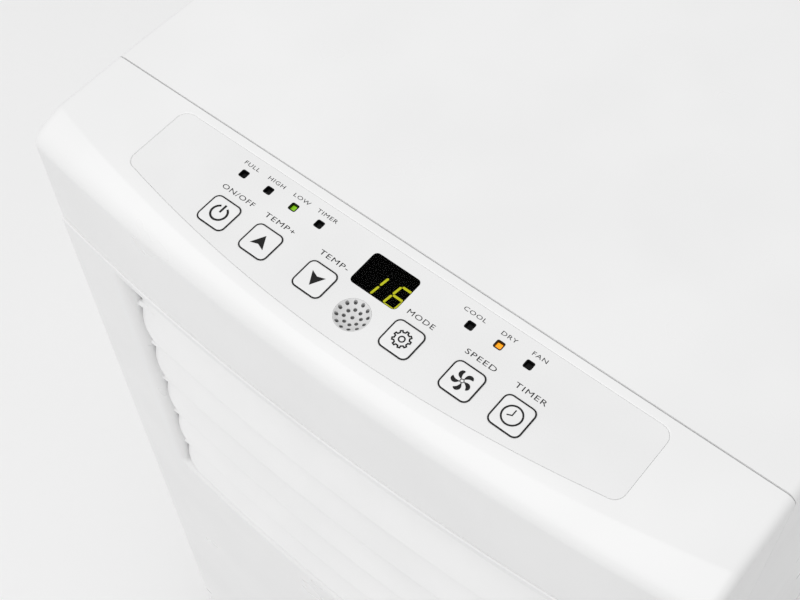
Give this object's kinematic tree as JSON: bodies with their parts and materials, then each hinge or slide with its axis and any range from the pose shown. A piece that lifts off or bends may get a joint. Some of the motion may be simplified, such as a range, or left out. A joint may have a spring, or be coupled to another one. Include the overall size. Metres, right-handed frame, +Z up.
{
  "type": "portable air conditioner",
  "caption": "White floor-standing portable air conditioner on casters, with a touch-key panel and lamps on top, shingled air louvres in front and an exhaust port behind.",
  "frame": {"origin": "on the floor under the middle of the body's box", "axes": "+Z up, the front with its louvres faces -Y, +X to the right seen from the front"},
  "size_m": [0.333, 0.3, 0.68],
  "materials": {
    "white_abs": "fine moulded satin, warm white",
    "louvre_white": "moulded satin white",
    "panel_film": "satin printed film, light grey",
    "key_abs": "satin light grey",
    "smoked_acrylic": "polished, nearly black",
    "black_abs": "moulded matte black",
    "grey_abs": "moulded matte light grey",
    "inner_white": "moulded matte off-white",
    "grey_box": "moulded matte grey",
    "board_green": "solder mask, satin green",
    "fin_aluminium": "thin stamped fins",
    "fin_aluminium_can": "drawn can, satin",
    "zinc_steel": "zinc-plated pressing",
    "black_paint": "satin black paint",
    "copper": "drawn copper tube, bright",
    "black_rubber": "matte",
    "caster_rubber": "matte, moulded"
  },
  "bodies": {
    "cabinet": {"control_fascia": "white_abs", "overlay_film": "panel_film", "display_window": "smoked_acrylic", "display_module": "black_abs", "indicator_light_guide": "smoked_acrylic", "buzzer_grille": "grey_abs", "control_board": "board_green", "front_panel": "white_abs", "rear_housing": "white_abs", "top_cover": "white_abs", "base_pan": "black_abs", "partition_tray": "inner_white", "cord_inlet": "black_rubber", "exhaust_collar": "white_abs", "evaporator_coil": "fin_aluminium", "condenser_coil": "fin_aluminium", "evaporator_scroll": "inner_white", "evaporator_motor": "zinc_steel", "condenser_scroll": "inner_white", "condenser_motor": "zinc_steel", "compressor": "black_paint", "accumulator": "black_paint", "discharge_pipe": "copper", "suction_pipe": "copper", "float_switch": "black_abs", "electrical_box": "grey_box", "run_capacitor": "fin_aluminium_can"},
    "key_power": {"key_power": "key_abs"},
    "key_temp_up": {"key_temp_up": "key_abs"},
    "key_temp_down": {"key_temp_down": "key_abs"},
    "key_mode": {"key_mode": "key_abs"},
    "key_speed": {"key_speed": "key_abs"},
    "key_timer": {"key_timer": "key_abs"},
    "louvre_blade_1": {"louvre_blade_1": "louvre_white"},
    "louvre_blade_2": {"louvre_blade_2": "louvre_white"},
    "louvre_blade_3": {"louvre_blade_3": "louvre_white"},
    "louvre_blade_4": {"louvre_blade_4": "louvre_white"},
    "louvre_blade_5": {"louvre_blade_5": "louvre_white"},
    "louvre_link": {"louvre_link_bar": "grey_abs"},
    "vane_1": {"vane_1": "grey_abs"},
    "vane_2": {"vane_2": "grey_abs"},
    "vane_3": {"vane_3": "grey_abs"},
    "vane_4": {"vane_4": "grey_abs"},
    "vane_5": {"vane_5": "grey_abs"},
    "vane_link": {"vane_link_bar": "grey_abs"},
    "evaporator_wheel": {"evaporator_wheel": "black_abs"},
    "condenser_wheel": {"condenser_wheel": "black_abs"},
    "upper_filter": {"upper_filter": "grey_abs"},
    "lower_filter": {"lower_filter": "grey_abs"},
    "upper_drain_plug": {"upper_drain_plug": "black_rubber"},
    "lower_drain_plug": {"lower_drain_plug": "black_rubber"},
    "float": {"float_ring": "inner_white"},
    "caster_front_left": {"caster_fork_front_left": "black_abs"},
    "wheel_front_left": {"caster_wheel_front_left": "caster_rubber"},
    "caster_front_right": {"caster_fork_front_right": "black_abs"},
    "wheel_front_right": {"caster_wheel_front_right": "caster_rubber"},
    "caster_rear_left": {"caster_fork_rear_left": "black_abs"},
    "wheel_rear_left": {"caster_wheel_rear_left": "caster_rubber"},
    "caster_rear_right": {"caster_fork_rear_right": "black_abs"},
    "wheel_rear_right": {"caster_wheel_rear_right": "caster_rubber"}
  },
  "joints": [
    {"name": "key_power_press", "type": "slide", "parent": "cabinet", "child": "key_power", "axis": [0, 0.0279, -0.9996], "range_m": [0, 0.0006], "stiffness_N_per_m": 1500, "springref_m": -0.0003},
    {"name": "key_temp_up_press", "type": "slide", "parent": "cabinet", "child": "key_temp_up", "axis": [0, 0.0279, -0.9996], "range_m": [0, 0.0006], "stiffness_N_per_m": 1500, "springref_m": -0.0003},
    {"name": "key_temp_down_press", "type": "slide", "parent": "cabinet", "child": "key_temp_down", "axis": [0, 0.0279, -0.9996], "range_m": [0, 0.0006], "stiffness_N_per_m": 1500, "springref_m": -0.0003},
    {"name": "key_mode_press", "type": "slide", "parent": "cabinet", "child": "key_mode", "axis": [0, 0.0279, -0.9996], "range_m": [0, 0.0006], "stiffness_N_per_m": 1500, "springref_m": -0.0003},
    {"name": "key_speed_press", "type": "slide", "parent": "cabinet", "child": "key_speed", "axis": [0, 0.0279, -0.9996], "range_m": [0, 0.0006], "stiffness_N_per_m": 1500, "springref_m": -0.0003},
    {"name": "key_timer_press", "type": "slide", "parent": "cabinet", "child": "key_timer", "axis": [0, 0.0279, -0.9996], "range_m": [0, 0.0006], "stiffness_N_per_m": 1500, "springref_m": -0.0003},
    {"name": "louvre_tilt_1", "type": "hinge", "parent": "cabinet", "child": "louvre_blade_1", "pos_m": [0, -0.138, 0.592], "axis": [-1, 0, 0], "range_deg": [0, 75]},
    {"name": "louvre_tilt_2", "type": "hinge", "parent": "cabinet", "child": "louvre_blade_2", "pos_m": [0, -0.138, 0.559], "axis": [-1, 0, 0], "range_deg": [0, 75]},
    {"name": "louvre_tilt_3", "type": "hinge", "parent": "cabinet", "child": "louvre_blade_3", "pos_m": [0, -0.138, 0.526], "axis": [-1, 0, 0], "range_deg": [0, 75]},
    {"name": "louvre_tilt_4", "type": "hinge", "parent": "cabinet", "child": "louvre_blade_4", "pos_m": [0, -0.138, 0.493], "axis": [-1, 0, 0], "range_deg": [0, 75]},
    {"name": "louvre_tilt_5", "type": "hinge", "parent": "cabinet", "child": "louvre_blade_5", "pos_m": [0, -0.138, 0.46], "axis": [-1, 0, 0], "range_deg": [0, 75]},
    {"name": "louvre_link_pivot", "type": "hinge", "parent": "louvre_blade_1", "child": "louvre_link", "pos_m": [-0.102, -0.127, 0.613], "axis": [-1, 0, 0], "range_deg": [-75, 0]},
    {"name": "vane_swing_1", "type": "hinge", "parent": "cabinet", "child": "vane_1", "pos_m": [-0.09, -0.098, 0.52835], "axis": [0, 0, 1], "range_deg": [-35, 35]},
    {"name": "vane_swing_2", "type": "hinge", "parent": "cabinet", "child": "vane_2", "pos_m": [-0.045, -0.098, 0.52835], "axis": [0, 0, 1], "range_deg": [-35, 35]},
    {"name": "vane_swing_3", "type": "hinge", "parent": "cabinet", "child": "vane_3", "pos_m": [0, -0.098, 0.52835], "axis": [0, 0, 1], "range_deg": [-35, 35]},
    {"name": "vane_swing_4", "type": "hinge", "parent": "cabinet", "child": "vane_4", "pos_m": [0.045, -0.098, 0.52835], "axis": [0, 0, 1], "range_deg": [-35, 35]},
    {"name": "vane_swing_5", "type": "hinge", "parent": "cabinet", "child": "vane_5", "pos_m": [0.09, -0.098, 0.52835], "axis": [0, 0, 1], "range_deg": [-35, 35]},
    {"name": "vane_link_pivot", "type": "hinge", "parent": "vane_1", "child": "vane_link", "pos_m": [-0.09, -0.08, 0.52835], "axis": [0, 0, 1], "range_deg": [-35, 35]},
    {"name": "evaporator_fan_spin", "type": "hinge", "parent": "cabinet", "child": "evaporator_wheel", "pos_m": [0, 0, 0.50435], "axis": [1, 0, 0], "continuous": true},
    {"name": "condenser_fan_spin", "type": "hinge", "parent": "cabinet", "child": "condenser_wheel", "pos_m": [-0.055, 0.048, 0.151], "axis": [0, 1, 0], "continuous": true},
    {"name": "upper_filter_slide", "type": "slide", "parent": "cabinet", "child": "upper_filter", "axis": [1, 0, 0], "range_m": [0, 0.25]},
    {"name": "lower_filter_slide", "type": "slide", "parent": "cabinet", "child": "lower_filter", "axis": [1, 0, 0], "range_m": [0, 0.25]},
    {"name": "upper_drain_plug_pull", "type": "slide", "parent": "cabinet", "child": "upper_drain_plug", "axis": [0, 1, 0], "range_m": [0, 0.016]},
    {"name": "lower_drain_plug_pull", "type": "slide", "parent": "cabinet", "child": "lower_drain_plug", "axis": [0, 1, 0], "range_m": [0, 0.016]},
    {"name": "float_rise", "type": "slide", "parent": "cabinet", "child": "float", "axis": [0, 0, 1], "range_m": [0, 0.01]},
    {"name": "caster_swivel_front_left", "type": "hinge", "parent": "cabinet", "child": "caster_front_left", "pos_m": [-0.1245, -0.106, 0.04], "axis": [0, 0, 1], "continuous": true},
    {"name": "wheel_roll_front_left", "type": "hinge", "parent": "caster_front_left", "child": "wheel_front_left", "pos_m": [-0.1245, -0.094, 0.017], "axis": [1, 0, 0], "continuous": true},
    {"name": "caster_swivel_front_right", "type": "hinge", "parent": "cabinet", "child": "caster_front_right", "pos_m": [0.1245, -0.106, 0.04], "axis": [0, 0, 1], "continuous": true},
    {"name": "wheel_roll_front_right", "type": "hinge", "parent": "caster_front_right", "child": "wheel_front_right", "pos_m": [0.1245, -0.094, 0.017], "axis": [1, 0, 0], "continuous": true},
    {"name": "caster_swivel_rear_left", "type": "hinge", "parent": "cabinet", "child": "caster_rear_left", "pos_m": [-0.1245, 0.106, 0.04], "axis": [0, 0, 1], "continuous": true},
    {"name": "wheel_roll_rear_left", "type": "hinge", "parent": "caster_rear_left", "child": "wheel_rear_left", "pos_m": [-0.1245, 0.118, 0.017], "axis": [1, 0, 0], "continuous": true},
    {"name": "caster_swivel_rear_right", "type": "hinge", "parent": "cabinet", "child": "caster_rear_right", "pos_m": [0.1245, 0.106, 0.04], "axis": [0, 0, 1], "continuous": true},
    {"name": "wheel_roll_rear_right", "type": "hinge", "parent": "caster_rear_right", "child": "wheel_rear_right", "pos_m": [0.1245, 0.118, 0.017], "axis": [1, 0, 0], "continuous": true}
  ],
  "couplings": [
    {"joint": "louvre_tilt_2", "follows": "louvre_tilt_1", "ratio": 1},
    {"joint": "louvre_tilt_3", "follows": "louvre_tilt_1", "ratio": 1},
    {"joint": "louvre_tilt_4", "follows": "louvre_tilt_1", "ratio": 1},
    {"joint": "louvre_tilt_5", "follows": "louvre_tilt_1", "ratio": 1},
    {"joint": "louvre_link_pivot", "follows": "louvre_tilt_1", "ratio": -1},
    {"joint": "vane_swing_2", "follows": "vane_swing_1", "ratio": 1},
    {"joint": "vane_swing_3", "follows": "vane_swing_1", "ratio": 1},
    {"joint": "vane_swing_4", "follows": "vane_swing_1", "ratio": 1},
    {"joint": "vane_swing_5", "follows": "vane_swing_1", "ratio": 1},
    {"joint": "vane_link_pivot", "follows": "vane_swing_1", "ratio": -1}
  ]
}
